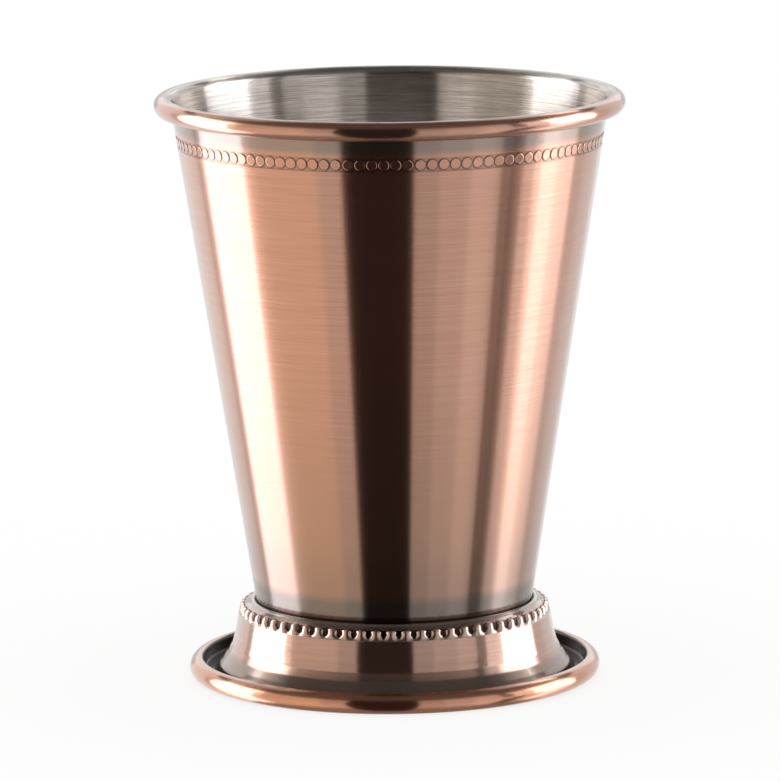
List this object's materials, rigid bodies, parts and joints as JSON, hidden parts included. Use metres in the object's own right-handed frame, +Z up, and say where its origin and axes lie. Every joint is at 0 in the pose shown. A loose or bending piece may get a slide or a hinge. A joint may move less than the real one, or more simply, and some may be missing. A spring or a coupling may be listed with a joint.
{
  "type": "julep cup",
  "caption": "Tapered metal cup with a rolled rim, a coin band under it and a gadrooned, flared foot with a rolled hem.",
  "frame": {"origin": "middle of the ring that the cup stands on, on the surface under it", "axes": "+Z up along the cup's axis of revolution, from the foot to the mouth; X and Y are alike"},
  "size_m": [0.0908, 0.0908, 0.114],
  "materials": {
    "bowl_sheet": "stainless sheet, brushed inside, antique copper plating outside and on the rolled rim",
    "foot_sheet": "stainless sheet with antique copper plating, dark in the recesses, brighter on the hem",
    "solder": "dull grey soft solder"
  },
  "bodies": {
    "root": {"bowl": "bowl_sheet", "foot": "foot_sheet", "solder_seam": "solder"}
  },
  "joints": []
}
